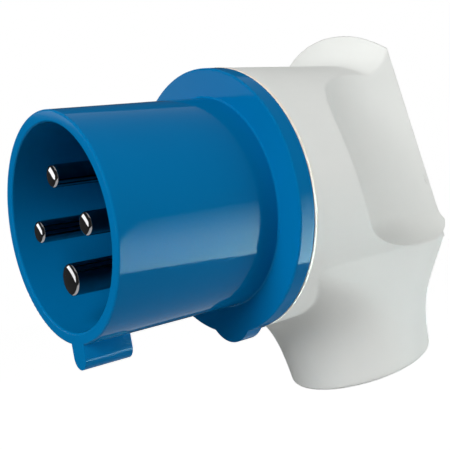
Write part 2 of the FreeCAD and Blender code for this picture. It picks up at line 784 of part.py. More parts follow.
def rim_round(form):
    """The ring that rounds the outside edge of the outlet's rim when it is cut away."""
    edge = form.size("neck_edge_round")
    inner = form.size("neck_radius") - edge
    outer = inner + 3 * edge

    def on_arc(degrees):
        angle = math.radians(degrees)
        return Vector(inner + edge * math.sin(angle), 0, edge - edge * math.cos(angle))

    turn = math.radians(RIM_ARC)
    last = on_arc(RIM_ARC)
    leave = last + Vector(math.cos(turn), 0, math.sin(turn)) * edge
    arc = Part.Arc(on_arc(0), on_arc(RIM_ARC / 2), last)
    corners = [last, leave, Vector(outer, 0, leave.z), Vector(outer, 0, -edge),
               Vector(inner, 0, -edge), on_arc(0)]
    lines = [Part.LineSegment(a, b).toShape() for a, b in zip(corners, corners[1:])]
    face = Part.Face(Part.Wire([arc.toShape()] + lines))
    return in_neck(form, face.revolve(Vector(0, 0, 0), Vector(0, 0, 1), 360))


def bayonet_ways(form):
    """The ring groove for the spigot's lugs and the slots that let them in."""
    size = form.size
    clearance = size("spigot_clearance")
    reach = size("spigot_radius + lug_height") + clearance
    front = size(HOUSING_FRONT)
    groove_front = size(LUG_FRONT) - clearance
    groove_rear = size(LUG_FRONT) + size("lug_width") + clearance
    ways = [Part.makeCylinder(reach, groove_rear - groove_front,
                              Vector(-groove_rear, 0, 0), Vector(1, 0, 0))]
    count = int(round(size("lug_count")))
    opening = size("lug_angle + lug_slot_slack")
    for index in range(count):
        slot = Part.makeCylinder(reach, groove_rear - front, Vector(0, 0, 0), Vector(0, 0, 1), opening)
        centre = 360.0 * (index + 0.5) / count - opening / 2 + 90
        slot.Placement = Placement(Vector(-groove_rear, 0, 0),
                                   Rotation(Vector(1, 0, 0), centre).multiply(
                                       Rotation(Vector(0, 1, 0), 90)))
        ways.append(slot)
    return ways


def clamp_posts(form):
    """The two posts that carry the cord clamp, standing on the outlet's shoulder."""
    size = form.size
    width, depth = size("post_width"), size("post_depth")
    low, high = size(POST_BASE) - 1, size(POST_BASE) + size("post_height")
    posts = []
    holes = []
    for side in CLAMP_SIDES.values():
        centre = side * size("post_spacing") / 2
        corner = Vector(size("post_face") - depth, centre - width / 2, low)
        posts.append(in_neck(form, Part.makeBox(depth, width, high - low, corner)))
        deep = size("post_hole_depth")
        start = Vector(size("post_face") - deep, centre, size(CLAMP_LEVEL))
        radius = size("clamp_screw_radius + thread_clearance")
        holes.append(in_neck(form, Part.makeCylinder(radius, deep + 1, start, Vector(1, 0, 0))))
    return posts, holes


def make_housing(doc):
    """The one-piece housing: barrel, scooped grip, waisted skirt, hollow, shoulder and posts."""
    form = HousingForm(doc, 0.0)
    hollow = HousingForm(doc, size_of(doc, "housing_wall"))
    size = form.size
    outside = form.solid()
    mouth_rear = size(SPIGOT_REAR) + 1
    clear = size("spigot_radius + spigot_clearance")
    mouth = Part.makeCylinder(clear, mouth_rear, Vector(-mouth_rear, 0, 0), Vector(1, 0, 0))
    reach = form.reach
    ahead = form.block(Vector(-mouth_rear, -reach, -reach), Vector(reach, reach, reach))
    shoulder_top = size(POST_BASE)
    below = form.block(Vector(-reach, -reach, -reach), Vector(reach, reach, shoulder_top), form.neck)
    inside = hollow.solid().cut([ahead, below])
    posts, holes = clamp_posts(form)
    shape = outside.cut(inside)
    for post in posts:
        shape = shape.fuse(post)
    bores = [
        neck_cylinder(form, size("gland_bore_radius"), -1, size(SEAL_TOP)),
        neck_cylinder(form, size("shoulder_bore"), -1, shoulder_top + 1),
    ]
    for cutter in [mouth] + bayonet_ways(form) + holes + bores + [rim_round(form)]:
        shape = shape.cut(cutter)
    body = doc.addObject("Part::Feature", "housing")
    body.Label = "housing"
    body.Shape = shape.Solids[0]
    body.Placement = Placement()
    return body


def make_all(doc):
    """Build every sub-part in the order in which the plug is put together."""
    parts = [make_shroud(doc), make_gasket(doc), make_carrier(doc), make_retainer(doc)]
    for name, angle in all_pins().items():
        parts.append(make_pin(doc, name, pin_radius_at(name), angle))
        parts.append(make_terminal_screw(doc, name.replace("pin", "terminal_screw"), angle))
    for name, angle in CARRIER_SCREW_ANGLES.items():
        parts.append(make_carrier_screw(doc, name, angle))
    parts.append(make_housing(doc))
    parts += [make_cable_seal(doc), make_gland_washer(doc), make_gland_ring(doc), make_saddle(doc)]
    for name, side in CLAMP_SIDES.items():
        parts.append(make_clamp_screw(doc, name, side))
    return parts


def check(doc, parts):
    """Stop if any object failed or any sub-part isn't one valid solid."""
    for item in doc.Objects:
        if "Invalid" in item.State or "Error" in item.State:
            raise RuntimeError(f"{item.Name} did not recompute: {item.State}")
    for item in parts:
        shape = item.Shape
        if shape.isNull() or not shape.isValid() or len(shape.Solids) != 1:
            raise RuntimeError(f"{item.Label} is not one valid solid")


def main():
    """Build the plug and write each sub-part to its own file."""
    doc = FreeCAD.newDocument("angled_plug")
    make_sheet(doc)
    parts = make_all(doc)
    doc.recompute()
    check(doc, parts)
    os.makedirs("parts", exist_ok=True)
    for item in parts:
        item.Shape.exportStep(f"parts/{item.Label}.step")
        print(f"{item.Label}: {item.Shape.Volume / 1000:.2f} cm3")


main()
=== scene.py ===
"""An angled industrial plug, dressed for its studio picture.

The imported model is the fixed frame, in metres: +X out of the pin shroud, +Z away from the
cable outlet. Each sub-assembly is a class that builds its pieces and dresses them.
"""

import logging
import math
from dataclasses import dataclass
from enum import Enum

import bmesh
import bpy
from mathutils import Matrix, Vector
from mathutils.kdtree import KDTree


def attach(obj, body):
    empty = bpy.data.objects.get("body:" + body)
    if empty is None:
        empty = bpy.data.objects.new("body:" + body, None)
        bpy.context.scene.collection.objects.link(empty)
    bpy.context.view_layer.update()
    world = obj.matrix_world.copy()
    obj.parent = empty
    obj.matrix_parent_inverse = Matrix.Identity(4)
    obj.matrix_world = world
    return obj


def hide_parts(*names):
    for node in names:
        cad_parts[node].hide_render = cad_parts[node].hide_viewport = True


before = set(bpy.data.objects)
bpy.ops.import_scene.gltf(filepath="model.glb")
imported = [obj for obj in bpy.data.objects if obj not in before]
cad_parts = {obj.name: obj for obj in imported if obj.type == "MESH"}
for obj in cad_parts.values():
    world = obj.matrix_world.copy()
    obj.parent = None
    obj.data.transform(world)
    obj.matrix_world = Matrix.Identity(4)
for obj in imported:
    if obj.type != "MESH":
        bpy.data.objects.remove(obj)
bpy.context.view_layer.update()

LOG = logging.getLogger("angled_plug")
BODY = "root"
MM = 0.001
WELD = 0.002 * MM

Triple = tuple[float, float, float]

WHITE: Triple = (1.0, 1.0, 1.0)
NO_COLOUR: Triple = (0.0, 0.0, 0.0)


class Grain(Enum):
    """What a mould or a tool left on a surface: cells per metre, octaves, depth in metres."""

    POLISHED = (900.0, 3.0, 0.000004)
    SATIN = (2600.0, 3.0, 0.000010)
    SPARK = (3400.0, 3.0, 0.000022)
    RUBBED = (1800.0, 4.0, 0.000030)


class Drift(Enum):
    """How a surface's colour or sheen wanders: cells per metre and octaves."""

    FLOW = (45.0, 2.0)
    HANDLED = (140.0, 5.0)
    DUST = (260.0, 6.0)
    TARNISH = (320.0, 5.0)


def scaled(colour: Triple, factor: float) -> Triple:
    """Scale a colour's parts, none of them past 1.

    Args:
        colour: The colour.
        factor: What to multiply it by.

    Returns:
        The scaled colour.
    """
    return tuple(min(1.0, part * factor) for part in colour)


class Shader:
    """One procedural material, written node by node round a principled surface.

    Attributes:
        SPREAD_FROM: The pattern's values that give the lowest and the highest roughness.
        TINT_FROM: The pattern's values that give the darker and the lighter colour.
        EDGE_SAMPLES: How many rays round an edge off.
    """

    SPREAD_FROM = (0.3, 0.7)
    TINT_FROM = (0.35, 0.65)
    EDGE_SAMPLES = 6

    def __init__(self, name: str) -> None:
        """Start an empty material.

        Args:
            name: The material's name.
        """
        self.material = bpy.data.materials.new(name)
        self.material.use_nodes = True
        self.tree = self.material.node_tree
        self.tree.nodes.clear()
        self.surface = self.add("ShaderNodeBsdfPrincipled")
        output = self.add("ShaderNodeOutputMaterial")
        self.join(self.surface, "BSDF", output, "Surface")
        self.where = self.add("ShaderNodeTexCoord")

    def add(self, kind: str, **values: object) -> bpy.types.Node:
        """Add a node.

        Args:
            kind: The node's type.
            values: Values for its sockets, by name with _ for a space.

        Returns:
            The new node.
        """
        node = self.tree.nodes.new(kind)
        for socket, value in values.items():
            node.inputs[socket.replace("_", " ")].default_value = value
        return node

    def join(self, source: bpy.types.Node, out: str | int,
             target: bpy.types.Node, into: str | int) -> None:
        """Link one node's output to another's input.

        Args:
            source: The node that gives.
            out: Its output's name or number.
            target: The node that takes.
            into: Its input's name or number.
        """
        self.tree.links.new(source.outputs[out], target.inputs[into])

    def give(self, **values: object) -> None:
        """Set the surface's own sockets.

        Args:
            values: Their values, by name with _ for a space.
        """
        for socket, value in values.items():
            self.surface.inputs[socket.replace("_", " ")].default_value = value

    def noise(self, scale: float, detail: float) -> bpy.types.Node:
        """Add noise in the object's own coordinates.

        Args:
            scale: Cells per metre.
            detail: Octaves.

        Returns:
            The noise node.
        """
        node = self.add("ShaderNodeTexNoise", Scale=scale, Detail=detail)
        self.join(self.where, "Object", node, "Vector")
        return node

    def vary_roughness(self, source: bpy.types.Node, low: float, high: float) -> None:
        """Spread the surface's roughness between two values by a pattern.

        Args:
            source: The pattern's node.
            low: The roughness where the pattern is lowest.
            high: The roughness where it is highest.
        """
        first, last = self.SPREAD_FROM
        node = self.add("ShaderNodeMapRange", From_Min=first, From_Max=last,
                        To_Min=low, To_Max=high)
        self.join(source, "Fac", node, "Value")
        self.join(node, "Result", self.surface, "Roughness")

    def vary_colour(self, source: bpy.types.Node, colour: Triple,
                    darker: float, lighter: float) -> None:
        """Let the surface's colour wander by a pattern.

        Args:
            source: The pattern's node.
            colour: The colour.
            darker: The factor where the pattern is low.
            lighter: The factor where it is high.
        """
        ramp = self.add("ShaderNodeValToRGB")
        ends = zip(ramp.color_ramp.elements, self.TINT_FROM, (darker, lighter))
        for end, position, factor in ends:
            end.position = position
            end.color = (*scaled(colour, factor), 1.0)
        self.join(source, "Fac", ramp, "Fac")
        self.join(ramp, "Color", self.surface, "Base Color")

    def relief(self, source: bpy.types.Node, depth: float, edge: float) -> None:
        """Raise a pattern on the surface, over edges softened by a small radius.

        Args:
            source: The pattern's node.
            depth: The relief's depth in metres.
            edge: The radius of the softened edges in metres.
        """
        soft = self.add("ShaderNodeBevel", Radius=edge)
        soft.samples = self.EDGE_SAMPLES
        bump = self.add("ShaderNodeBump", Strength=1.0, Distance=depth)
        self.join(source, "Fac", bump, "Height")
        self.join(soft, "Normal", bump, "Normal")
        self.join(bump, "Normal", self.surface, "Normal")

    def skin(self, grain: Grain, edge: float) -> None:
        """Give the surface a grain.

        Args:
            grain: The grain.
            edge: The radius of the softened edges in metres.
        """
        scale, detail, depth = grain.value
        self.relief(self.noise(scale, detail), depth, edge)


@dataclass(frozen=True)
class MouldedPlastic:
    """A moulded plastic: its colour wanders a little, and its skin keeps the mould's grain."""

    name: str
    colour: Triple
    grain: Grain
    roughness: float
    specular: float
    wander: float = 0.03
    edge: float = 0.35 * MM
    smoother: float = 0.88
    rougher: float = 1.14

    def material(self) -> bpy.types.Material:
        """Write the material.

        Returns:
            The new material.
        """
        shader = Shader(self.name)
        shader.give(Specular_IOR_Level=self.specular)
        flow = shader.noise(*Drift.FLOW.value)
        shader.vary_colour(flow, self.colour, 1.0 - self.wander, 1.0 + self.wander)
        handled = shader.noise(*Drift.HANDLED.value)
        shader.vary_roughness(handled, self.roughness * self.smoother,
                              self.roughness * self.rougher)
        shader.skin(self.grain, self.edge)
        return shader.material


@dataclass(frozen=True)
class MouldedRubber:
    """A moulded rubber: matt, with a faint dusty bloom."""

    name: str
    colour: Triple
    bloom: float
    edge: float = 0.2 * MM
    bloom_roughness: float = 0.6
    darker: float = 0.92
    lighter: float = 1.06
    least_rough: float = 0.62
    most_rough: float = 0.82

    def material(self) -> bpy.types.Material:
        """Write the material.

        Returns:
            The new material.
        """
        shader = Shader(self.name)
        shader.give(Sheen_Weight=self.bloom, Sheen_Roughness=self.bloom_roughness)
        dust = shader.noise(*Drift.DUST.value)
        shader.vary_colour(dust, self.colour, self.darker, self.lighter)
        shader.vary_roughness(dust, self.least_rough, self.most_rough)
        shader.skin(Grain.RUBBED, self.edge)
        return shader.material


@dataclass(frozen=True)
class TurnedMetal:
    """A turned and plated metal: rings from the lathe run round it under the plating."""

    name: str
    colour: Triple
    roughness: float
    rings: float
    depth: float
    edge: float = 0.12 * MM
    darker: float = 0.86
    lighter: float = 1.12
    smoother: float = 0.7
    rougher: float = 1.5
    chatter: float = 0.6
    chatter_detail: float = 2.0

    def material(self) -> bpy.types.Material:
        """Write the material.

        Returns:
            The new material.
        """
        shader = Shader(self.name)
        shader.give(Metallic=1.0)
        tarnish = shader.noise(*Drift.TARNISH.value)
        shader.vary_colour(tarnish, self.colour, self.darker, self.lighter)
        shader.vary_roughness(tarnish, self.roughness * self.smoother,
                              self.roughness * self.rougher)
        lathe = shader.add("ShaderNodeTexWave", Scale=self.rings, Distortion=self.chatter,
                           Detail=self.chatter_detail)
        lathe.bands_direction = "X"
        shader.join(shader.where, "Object", lathe, "Vector")
        shader.relief(lathe, self.depth, self.edge)
        return shader.material


Finish = MouldedPlastic | MouldedRubber | TurnedMetal

BLUE = MouldedPlastic("shroud_blue", (0.0003, 0.145, 0.362), Grain.POLISHED,
                      roughness=0.07, specular=0.018, wander=0.015, edge=0.12 * MM)
GREY = MouldedPlastic("housing_grey", (0.785, 0.800, 0.775), Grain.SPARK,
                      roughness=0.5, specular=0.006, wander=0.012, edge=0.25 * MM)
CARRIER = MouldedPlastic("carrier_navy", (0.012, 0.040, 0.100), Grain.SATIN,
                         roughness=0.42, specular=0.3)
GLAND = MouldedPlastic("gland_grey", (0.52, 0.535, 0.52), Grain.SATIN,
                       roughness=0.38, specular=0.35)
CREAM = MouldedRubber("gasket_cream", (0.88, 0.80, 0.69), bloom=0.15)
BLACK = MouldedRubber("seal_black", (0.022, 0.022, 0.023), bloom=0.25)
NICKEL = TurnedMetal("pin_nickel", (0.235, 0.235, 0.240), roughness=0.05, rings=700.0,
                     depth=0.0000008)
ZINC = TurnedMetal("screw_zinc", (0.52, 0.53, 0.53), roughness=0.24, rings=420.0,
                   depth=0.000004)


class Finishes:
    """The finishes written so far, so that pieces of one finish share one material."""

    def __init__(self) -> None:
        """Start with none written."""
        self.made: dict[str, bpy.types.Material] = {}

    def of(self, finish: Finish) -> bpy.types.Material:
        """Find a finish's material, and write it the first time.

        Args:
            finish: The finish.

        Returns:
            Its material.
        """
        if finish.name not in self.made:
            self.made[finish.name] = finish.material()
        return self.made[finish.name]

    def dress(self, finish: Finish, *nodes: str) -> None:
        """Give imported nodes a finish.

        Args:
            finish: The finish that they get.
            nodes: The nodes' names.
        """
        material = self.of(finish)
        for node in nodes:
            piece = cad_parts[node]
            if not piece.material_slots:
                piece.data.materials.append(material)
            for slot in piece.material_slots:
                slot.material = material

    def cover(self, finish: Finish, piece: bpy.types.Object) -> None:
        """Give a finished piece one finish all over.

        Args:
            finish: The finish that it gets.
            piece: The piece.
        """
        piece.data.materials.clear()
        piece.data.materials.append(self.of(finish))


def settle(piece: bpy.types.Object, slot: str, *nodes: str) -> None:
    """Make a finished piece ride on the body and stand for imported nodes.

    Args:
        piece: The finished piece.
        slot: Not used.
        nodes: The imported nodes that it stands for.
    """
    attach(piece, BODY)
    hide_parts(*nodes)


def merged_copy(node: str) -> bpy.types.Mesh:
    """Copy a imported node's mesh and weld its loose triangles.

    Args:
        node: The node's name.

    Returns:
        The welded mesh.
    """
    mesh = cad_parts[node].data.copy()
    work = bmesh.new()
    work.from_mesh(mesh)
    bmesh.ops.remove_doubles(work, verts=work.verts, dist=WELD)
    work.to_mesh(mesh)
    work.free()
    return mesh


def stand(name: str, mesh: bpy.types.Mesh) -> bpy.types.Object:
    """Put a mesh into the scene as an object at the origin.

    Args:
        name: The object's name.
        mesh: Its mesh.

    Returns:
        The new object.
    """
    piece = bpy.data.objects.new(name, mesh)
    bpy.context.scene.collection.objects.link(piece)
    return piece


def sheet(name: str, wide: float, tall: float, level: float = 0.0) -> bpy.types.Object:
    """Lay a flat rectangle round the local Z axis.

    Args:
        name: The object's name.
        wide: Half its size along X.
        tall: Half its size along Y.
        level: Its place along Z.

    Returns:
        The new object.
    """
    corners = [(-wide, -tall, level), (wide, -tall, level),
               (wide, tall, level), (-wide, tall, level)]
    mesh = bpy.data.meshes.new(name)
    mesh.from_pydata([Vector(corner) for corner in corners], [], [(0, 1, 2, 3)])
    return stand(name, mesh)


def baked(piece: bpy.types.Object) -> bpy.types.Mesh:
    """Turn an object and its modifiers into a plain mesh.

    Args:
        piece: The object with its modifiers.

    Returns:
        A new mesh of the result.
    """
    graph = bpy.context.evaluated_depsgraph_get()
    return bpy.data.meshes.new_from_object(piece.evaluated_get(graph), depsgraph=graph)


def middle(edge: bmesh.types.BMEdge) -> Vector:
    """Find the middle of an edge.

    Args:
        edge: The edge.

    Returns:
        Its middle.
    """
    return (edge.verts[0].co + edge.verts[1].co) / 2


class Facets:
    """A mesh's facets, with their normals and areas, to be looked up by place or by corner."""

    def __init__(self, mesh: bpy.types.Mesh) -> None:
        """Gather the facets.

        Args:
            mesh: The mesh.
        """
        self.facings: list[Vector] = []
        self.areas: list[float] = []
        self.corners: list[list[tuple[int, int]]] = [[] for _ in mesh.vertices]
        self.tree = KDTree(len(mesh.polygons))
        for facet in mesh.polygons:
            self.tree.insert(facet.center, facet.index)
            self.facings.append(facet.normal.copy())
            self.areas.append(facet.area)
            for loop in facet.loop_indices:
                vertex = mesh.loops[loop].vertex_index
                self.corners[vertex].append((loop, facet.index))
        self.tree.balance()


@dataclass(frozen=True)
class SoftSkin:
    """How a moulding's skin is shaded, on a surface that stays where it is.

    Each corner's normal is the mean of the facets near it, so that lips look rounded while
    flats and rounds stay true. Long triangles are split first, finely near the creases.

    Attributes:
        spacing: The longest edge anywhere, and how far from a crease the fine split goes.
        fine: The longest edge near a crease.
        reach: How far from a corner a facet still counts.
        turn: The most that a normal turns away from its own facet.
        within: The widest angle between a facet and those that are averaged with it.
        crease: The angle past which an edge is a crease.
        alike: The share of within under which facets at one vertex share a normal.
        passes: The most rounds of splitting.
    """

    spacing: float
    fine: float
    reach: float
    turn: float
    within: float
    crease: float = math.radians(9.0)
    alike: float = 0.25
    passes: int = 7

    def split(self, work: bmesh.types.BMesh, longest: float, creases: KDTree | None) -> None:
        """Split triangles until no edge is too long, everywhere or only near the creases.

        Args:
            work: The mesh at work.
            longest: The longest edge that may stay.
            creases: The creases' middles, or None for the whole mesh.
        """
        for _ in range(self.passes):
            long_edges = [
                edge for edge in work.edges if edge.calc_length() > longest
                and (creases is None or creases.find(middle(edge))[2] < self.spacing)]
            if not long_edges:
                break
            bmesh.ops.subdivide_edges(work, edges=long_edges, cuts=1)
            many = [face for face in work.faces if len(face.verts) > 3]
            bmesh.ops.triangulate(work, faces=many)

    def refine(self, mesh: bpy.types.Mesh) -> None:
        """Split the mesh's long triangles without moving its surface.

        Args:
            mesh: The mesh.
        """
        work = bmesh.new()
        work.from_mesh(mesh)
        self.split(work, self.spacing, None)
        middles = [middle(edge) for edge in work.edges
                   if edge.calc_face_angle(0.0) > self.crease]
        creases = KDTree(len(middles))
        for index, place in enumerate(middles):
            creases.insert(place, index)
        creases.balance()
        self.split(work, self.fine, creases)
        work.to_mesh(mesh)
        work.free()

    def mean(self, facets: Facets, facing: Vector, around: list[tuple[int, int]],
             near: list[tuple[Vector, int, float]]) -> Vector:
        """Average the facets at a vertex and near it that face about the same way.

        Args:
            facets: The mesh's facets.
            facing: The way that they must about face.
            around: The vertex's own loops and facets.
            near: Places, numbers and distances of the facets within reach.

        Returns:
            The mean normal.
        """
        widest = math.cos(self.within)
        total = Vector()
        for _, facet in around:
            if facing.dot(facets.facings[facet]) > widest:
                total += facets.facings[facet] * facets.areas[facet]
        for _, facet, distance in near:
            if facing.dot(facets.facings[facet]) > widest:
                share = facets.areas[facet] * (1.0 - (distance / self.reach) ** 2)
                total += facets.facings[facet] * share
        return total.normalized() if total.length > 0.0 else facing

    def shade(self, mesh: bpy.types.Mesh) -> None:
        """Point each corner the way that the skin within reach faces on average.

        Args:
            mesh: The mesh.
        """
        self.refine(mesh)
        mesh.polygons.foreach_set("use_smooth", [True] * len(mesh.polygons))
        facets = Facets(mesh)
        alike = math.cos(self.within * self.alike)
        normals = [None] * len(mesh.loops)
        for vertex in mesh.vertices:
            around = facets.corners[vertex.index]
            near = facets.tree.find_range(vertex.co, self.reach)
            groups: list[tuple[Vector, Vector]] = []
            for loop, facet in around:
                facing = facets.facings[facet]
                blend = next((mean for first, mean in groups if first.dot(facing) > alike),
                             None)
                if blend is None:
                    blend = self.mean(facets, facing, around, near)
                    groups.append((facing, blend))
                apart = facing.angle(blend, 0.0)
                if apart > self.turn:
                    blend = facing.lerp(blend, self.turn / apart).normalized()
                normals[loop] = tuple(blend)
        mesh.normals_split_custom_set(normals)


@dataclass
class PinShroud:
    """The blue front moulding with its rim, key, flange and lobe, and the gasket behind it."""

    finishes: Finishes
    skin: SoftSkin = SoftSkin(spacing=4.0 * MM, fine=4.0 * MM, reach=2.2 * MM,
                              turn=math.radians(30.0), within=math.radians(12.0))

    def build(self) -> bpy.types.Object:
        """Build the shroud with welded walls and a shaded skin.

        Returns:
            The shroud's piece.
        """
        mesh = merged_copy("shroud")
        self.skin.shade(mesh)
        return stand("pin_shroud", mesh)

    def dress(self, piece: bpy.types.Object) -> None:
        """Finish the shroud in blue and the gasket in cream.

        Args:
            piece: The shroud's piece.
        """
        self.finishes.cover(BLUE, piece)
        settle(piece, "blue_plastic", "shroud")
        self.finishes.dress(CREAM, "flange_gasket")


@dataclass
class ContactSet:
    """The four turned pins in their carrier, with its retainer and screws."""

    finishes: Finishes
    circle: float = 11.1 * MM
    tip: float = -0.5 * MM
    shank_end: float = -40.0 * MM
    head_end: float = -53.0 * MM
    crown: float = 1.0 * MM
    crown_power: float = 2.7
    crown_steps: int = 18
    phase_radius: float = 2.5 * MM
    earth_radius: float = 3.5 * MM
    head_radius: float = 4.7 * MM
    bore_radius: float = 2.3 * MM
    bore_depth: float = 9.0 * MM
    chamfer: float = 0.3 * MM
    sides: int = 96
    weld: float = 0.001 * MM
    sharp_above: float = math.radians(40.0)

    def profile(self, radius: float) -> list[tuple[float, float]]:
        """Draw half of a pin's section, from the tip's centre to the wire bore's floor.

        Args:
            radius: The pin's radius.

        Returns:
            Places along the axis with their radii.
        """
        power = self.crown_power
        points = [(self.tip, 0.0)]
        for index in range(1, self.crown_steps + 1):
            share = math.sin(0.5 * math.pi * index / self.crown_steps)
            drop = self.crown * (1.0 - (1.0 - share ** power) ** (1 / power))
            points.append((self.tip - drop, radius * share))
        head, bore, cut = self.head_radius, self.bore_radius, self.chamfer
        floor = self.head_end + self.bore_depth
        points += [
            (self.shank_end, radius), (self.shank_end, head - cut),
            (self.shank_end - cut, head), (self.head_end + cut, head),
            (self.head_end, head - cut), (self.head_end, bore + cut),
            (self.head_end + cut, bore), (floor, bore), (floor + bore / 2, 0.0)]
        return points

    def turned(self, name: str, radius: float) -> bpy.types.Object:
        """Turn one pin round the plug's axis.

        Args:
            name: The object's name.
            radius: The pin's radius.

        Returns:
            The turned pin, still on the plug's axis.
        """
        work = bmesh.new()
        chain = [work.verts.new((x, r, 0.0)) for x, r in self.profile(radius)]
        edges = [work.edges.new(pair) for pair in zip(chain, chain[1:])]
        bmesh.ops.spin(work, geom=chain + edges, cent=(0, 0, 0), axis=(1, 0, 0),
                       angle=2 * math.pi, steps=self.sides, use_merge=True)
        bmesh.ops.remove_doubles(work, verts=work.verts, dist=self.weld)
        bmesh.ops.recalc_face_normals(work, faces=work.faces)
        mesh = bpy.data.meshes.new(name)
        work.to_mesh(mesh)
        work.free()
        mesh.polygons.foreach_set("use_smooth", [True] * len(mesh.polygons))
        mesh.set_sharp_from_angle(angle=self.sharp_above)
        mesh.update()
        return stand(name, mesh)

    def ring_tree(self) -> bpy.types.NodeTree:
        """Write the geometry nodes that stand pins on the pin circle at equal steps.

        Returns:
            The node tree, with named inputs.
        """
        tree = bpy.data.node_groups.new("pin_ring", "GeometryNodeTree")
        sockets = {"Pin": "NodeSocketObject", "Circle": "NodeSocketFloat",
                   "First Angle": "NodeSocketFloat", "Step Angle": "NodeSocketFloat",
                   "Count": "NodeSocketInt", "Finish": "NodeSocketMaterial"}
        for name, kind in sockets.items():
            tree.interface.new_socket(name=name, in_out="INPUT", socket_type=kind)
        tree.interface.new_socket(name="Geometry", in_out="OUTPUT",
                                  socket_type="NodeSocketGeometry")
        nodes, links = tree.nodes, tree.links
        inputs = nodes.new("NodeGroupInput")
        outputs = nodes.new("NodeGroupOutput")

        def maths(operation: str, *values: bpy.types.NodeSocket) -> bpy.types.NodeSocket:
            """Add a maths node.

            Args:
                operation: What it works out.
                values: The one or two values that it takes.

            Returns:
                The result's socket.
            """
            node = nodes.new("ShaderNodeMath")
            node.operation = operation
            for value, socket in zip(values, node.inputs):
                links.new(value, socket)
            return node.outputs[0]

        points = nodes.new("GeometryNodeMeshLine")
        links.new(inputs.outputs["Count"], points.inputs["Count"])
        points.inputs["Offset"].default_value = (0.0, 0.0, 0.0)
        index = nodes.new("GeometryNodeInputIndex").outputs["Index"]
        turn = maths("ADD", maths("MULTIPLY", index, inputs.outputs["Step Angle"]),
                     inputs.outputs["First Angle"])
        across = maths("MULTIPLY", maths("COSINE", turn), inputs.outputs["Circle"])
        up = maths("MULTIPLY", maths("SINE", turn), inputs.outputs["Circle"])
        place = nodes.new("ShaderNodeCombineXYZ")
        links.new(across, place.inputs["Y"])
        links.new(up, place.inputs["Z"])
        spread = nodes.new("GeometryNodeSetPosition")
        links.new(points.outputs["Mesh"], spread.inputs["Geometry"])
        links.new(place.outputs["Vector"], spread.inputs["Position"])
        pin = nodes.new("GeometryNodeObjectInfo")
        links.new(inputs.outputs["Pin"], pin.inputs["Object"])
        stood = nodes.new("GeometryNodeInstanceOnPoints")
        links.new(spread.outputs["Geometry"], stood.inputs["Points"])
        links.new(pin.outputs["Geometry"], stood.inputs["Instance"])
        real = nodes.new("GeometryNodeRealizeInstances")
        links.new(stood.outputs["Instances"], real.inputs["Geometry"])
        finish = nodes.new("GeometryNodeSetMaterial")
        links.new(real.outputs["Geometry"], finish.inputs["Geometry"])
        links.new(inputs.outputs["Finish"], finish.inputs["Material"])
        links.new(finish.outputs["Geometry"], outputs.inputs["Geometry"])
        return tree

    def ring(self, tree: bpy.types.NodeTree, name: str, pin: bpy.types.Object,
             first: float, step: float, count: int) -> bpy.types.Object:
        """Stand turned pins on the pin circle as one plain piece.

        Args:
            tree: The geometry nodes that place them.
            name: The piece's name.
            pin: The turned pin.
            first: The first pin's angle in degrees, from +Y towards +Z.
            step: The angle from one pin to the next in degrees.
            count: How many pins there are.

        Returns:
            The piece.
        """
        holder = stand(name + "_path", bpy.data.meshes.new(name + "_path"))
        modifier = holder.modifiers.new("ring", "NODES")
        modifier.node_group = tree
        values = {"Pin": pin, "Circle": self.circle, "First Angle": math.radians(first),
                  "Step Angle": math.radians(step), "Count": count,
                  "Finish": self.finishes.of(NICKEL)}
        for socket in tree.interface.items_tree:
            if socket.item_type == "SOCKET" and socket.in_out == "INPUT":
                modifier[socket.identifier] = values[socket.name]
        mesh = baked(holder)
        bpy.data.objects.remove(holder)
        bpy.data.objects.remove(pin)
        mesh.name = name
        return stand(name, mesh)

    def build(self) -> tuple[bpy.types.Object, bpy.types.Object]:
        """Build the phase pins and the earth pin.

        Returns:
            The two pieces.
        """
        tree = self.ring_tree()
        phase = self.turned("phase_pin_blank", self.phase_radius)
        earth = self.turned("earth_pin_blank", self.earth_radius)
        return (self.ring(tree, "phase_pins", phase, first=0.0, step=90.0, count=3),
                self.ring(tree, "earth_pin_turned", earth, first=270.0, step=0.0, count=1))

    def dress(self, phase: bpy.types.Object, earth: bpy.types.Object) -> None:
        """Settle the pins and finish the carrier, the retainer and their screws.

        Args:
            phase: The phase pins' piece.
            earth: The earth pin's piece.
        """
        settle(phase, "pin_metal", "phase_pin_1", "phase_pin_2", "phase_pin_3")
        settle(earth, "pin_metal", "earth_pin")
        self.finishes.dress(CARRIER, "contact_carrier", "pin_retainer")
        self.finishes.dress(ZINC, "phase_terminal_screw_1", "phase_terminal_screw_2",
                            "phase_terminal_screw_3", "earth_terminal_screw",
                            "carrier_screw_1", "carrier_screw_2")


@dataclass
class AngledHousing:
    """The grey one-piece housing: barrel, scooped grip, crowned top and waisted skirt."""

    finishes: Finishes
    skin: SoftSkin = SoftSkin(spacing=3.0 * MM, fine=1.1 * MM, reach=0.9 * MM,
                              turn=math.radians(34.0), within=math.radians(88.0))

    def build(self) -> bpy.types.Object:
        """Build the housing with welded walls and a skin whose lips look rounded.

        Returns:
            The housing's piece.
        """
        mesh = merged_copy("housing")
        self.skin.shade(mesh)
        return stand("housing_moulding", mesh)

    def dress(self, piece: bpy.types.Object) -> None:
        """Finish the housing in light grey.

        Args:
            piece: The housing's piece.
        """
        self.finishes.cover(GREY, piece)
        settle(piece, "grey_plastic", "housing")


@dataclass
class CableOutlet:
    """The gland, the seal and the cord clamp in the housing's foot."""

    finishes: Finishes

    def dress(self) -> None:
        """Finish the gland's rings, the saddle, the seal and the clamp's screws."""
        self.finishes.dress(GLAND, "gland_ring", "gland_washer", "cord_clamp_saddle")
        self.finishes.dress(BLACK, "cable_seal")
        self.finishes.dress(ZINC, "clamp_screw_1", "clamp_screw_2")


PLUG_MIDDLE: Triple = (-0.050, 0.0, -0.005)


